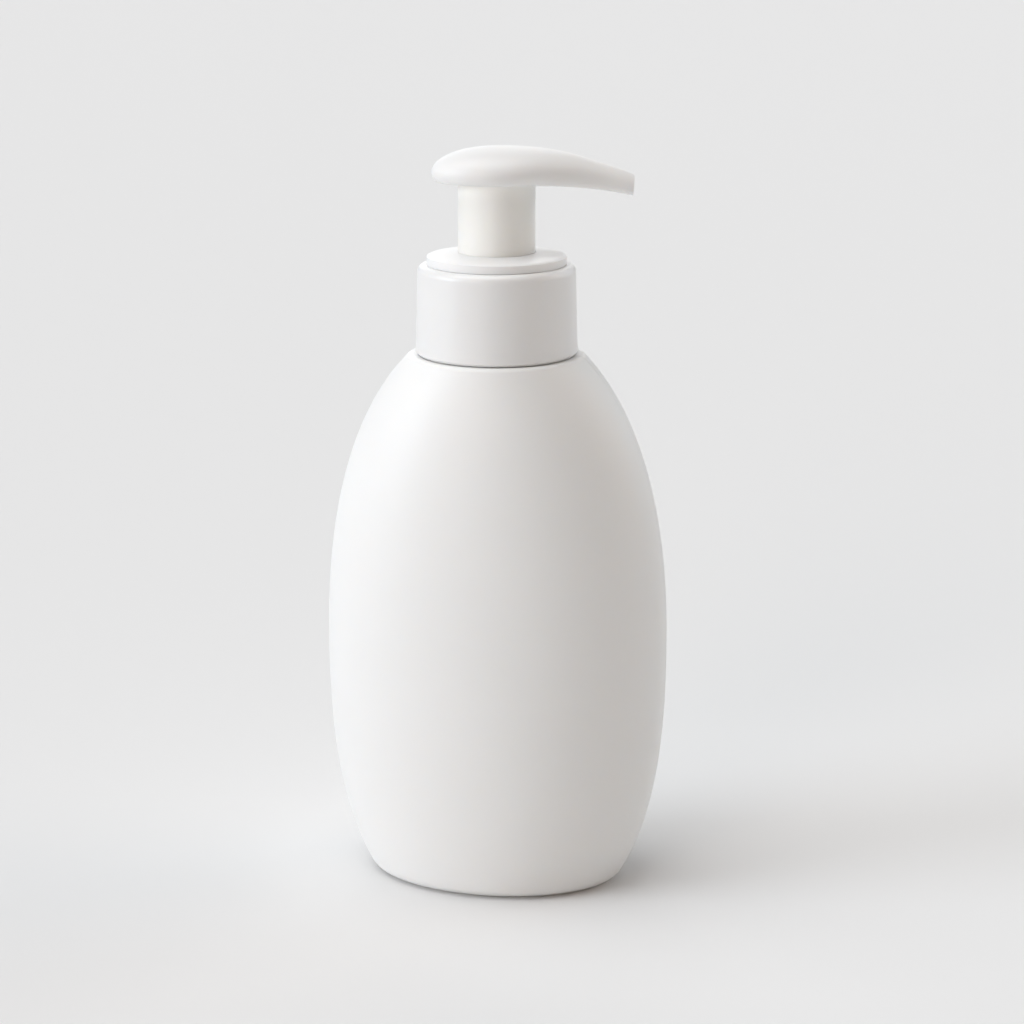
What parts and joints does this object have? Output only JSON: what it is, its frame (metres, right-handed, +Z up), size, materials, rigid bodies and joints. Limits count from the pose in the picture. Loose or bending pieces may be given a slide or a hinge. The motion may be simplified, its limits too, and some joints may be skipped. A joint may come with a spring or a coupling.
{
  "type": "pump bottle",
  "caption": "White oval baby wash bottle with a press-down lotion pump, smooth screw closure, outside return spring and dip tube.",
  "frame": {"origin": "on the standing plane, under the middle of the bottle and on the pump's axis", "axes": "+Z up along the pump's axis, +X along the bottle's width, +Y towards its back; the nozzle is turned 12.5 degrees from +X"},
  "size_m": [0.0818, 0.0556, 0.1755],
  "materials": {
    "bottle_hdpe": "satin",
    "closure_pp": "semi-gloss",
    "gasket_foam": "matte",
    "ring_pp": "semi-gloss",
    "housing_pp": "natural, satin",
    "dip_tube_pe": "natural, translucent",
    "steel": "drawn",
    "stem_pp": "natural, satin",
    "piston_pe": "satin",
    "sleeve_pp": "semi-gloss",
    "head_pp": "semi-gloss"
  },
  "bodies": {
    "bottle": {"bottle": "bottle_hdpe"},
    "gasket": {"gasket": "gasket_foam"},
    "pump": {"pump_housing": "housing_pp", "lock_ring": "ring_pp", "cylinder_bushing": "housing_pp", "inlet_ball": "steel", "dip_tube": "dip_tube_pe"},
    "closure": {"closure": "closure_pp"},
    "spring": {"return_spring": "steel"},
    "head": {"actuator_head": "head_pp", "sleeve": "sleeve_pp", "stem": "stem_pp", "valve_rod": "stem_pp"},
    "piston": {"piston": "piston_pe"}
  },
  "joints": [
    {"name": "pump_lift", "type": "slide", "parent": "bottle", "child": "gasket", "axis": [0, 0, 1], "range_m": [0, 0.145]},
    {"name": "pump_rise", "type": "slide", "parent": "gasket", "child": "pump", "axis": [0, 0, 1], "range_m": [0, 0.00635]},
    {"name": "closure_turn", "type": "hinge", "parent": "pump", "child": "closure", "pos_m": [0, 0, 0.1381], "axis": [0, 0, 1], "range_deg": [0, 540]},
    {"name": "head_turn", "type": "hinge", "parent": "pump", "child": "spring", "pos_m": [0, 0, 0.1248], "axis": [0, 0, 1], "continuous": true},
    {"name": "head_press", "type": "slide", "parent": "spring", "child": "head", "axis": [0, 0, -1], "range_m": [0, 0.014], "stiffness_N_per_m": 840, "springref_m": -0.006, "deforming": ["return_spring"]},
    {"name": "piston_slide", "type": "slide", "parent": "pump", "child": "piston", "axis": [0, 0, -1], "range_m": [0, 0.013]}
  ],
  "couplings": [
    {"joint": "closure_turn", "follows": "pump_rise", "rad_per_m": 1484.2},
    {"joint": "piston_slide", "follows": "head_press", "ratio": 0.92857}
  ]
}
